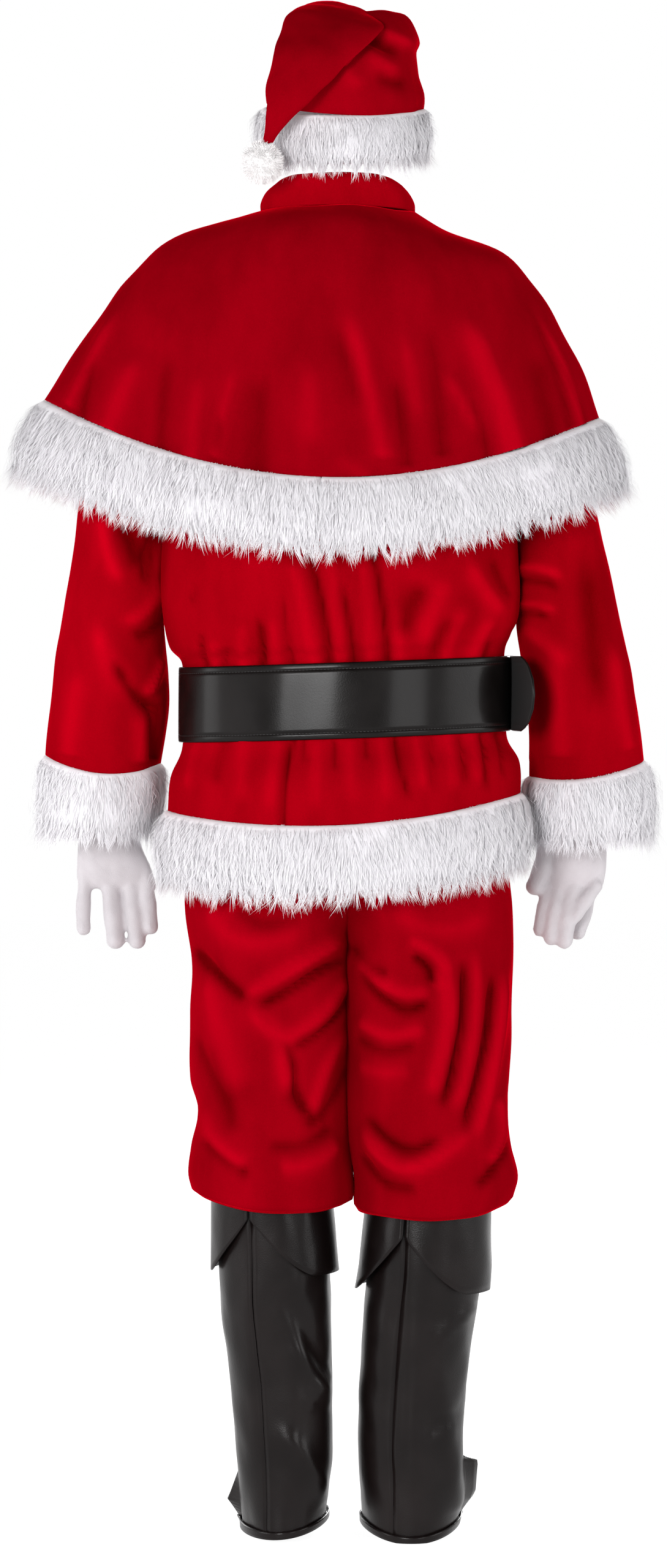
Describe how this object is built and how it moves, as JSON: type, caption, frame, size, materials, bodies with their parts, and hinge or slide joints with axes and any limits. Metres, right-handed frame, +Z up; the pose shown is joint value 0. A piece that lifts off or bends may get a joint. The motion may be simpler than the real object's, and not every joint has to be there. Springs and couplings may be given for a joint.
{
  "type": "santa suit",
  "caption": "Worn red velvet suit with white fur trim, hollow and open at neck, cuffs and hems: hat with hanging tail, cape, belted jacket, trousers, boot covers and gloves.",
  "frame": {"origin": "centre of the neck opening, at the seam between the cape and its stand collar, where the suit hangs on its wearer", "axes": "+Z up, towards the hat; -Y the way the wearer faces; +X the wearer's left"},
  "size_m": [0.7695, 0.381, 1.8269],
  "materials": {
    "red_velvet": "short-pile crushed velvet, soft sheen",
    "white_fur": "long-pile plush fur, matte",
    "black_leather": "glossy faux leather, stitched edges",
    "brown_leather": "satin faux leather, fine grain",
    "white_knit": "fine matte knit",
    "gilt_metal": "polished gilt"
  },
  "bodies": {
    "root": {"cape_back": "red_velvet", "cape_front_left": "red_velvet", "cape_front_right": "red_velvet", "cape_collar": "red_velvet", "jacket_back": "red_velvet", "jacket_front_left": "red_velvet", "jacket_front_right": "red_velvet", "sleeve_left": "red_velvet", "sleeve_right": "red_velvet", "trousers_waistband": "red_velvet", "trousers_back_left": "red_velvet", "trousers_back_right": "red_velvet", "trousers_front_left": "red_velvet", "trousers_front_right": "red_velvet", "hat_crown": "red_velvet", "hat_tail": "red_velvet", "cape_trim_left": "white_fur", "cape_trim_right": "white_fur", "cuff_left": "white_fur", "cuff_right": "white_fur", "hem_trim": "white_fur", "hat_band": "white_fur", "hat_pompom": "white_fur", "belt_strap": "black_leather", "belt_tongue": "black_leather", "belt_buckle": "gilt_metal", "belt_prong": "gilt_metal", "boot_left_inner": "brown_leather", "boot_left_outer": "brown_leather", "boot_left_cuff": "brown_leather", "boot_left_hem": "brown_leather", "boot_right_inner": "brown_leather", "boot_right_outer": "brown_leather", "boot_right_cuff": "brown_leather", "boot_right_hem": "brown_leather", "glove_left": "white_knit", "glove_right": "white_knit"}
  },
  "joints": []
}
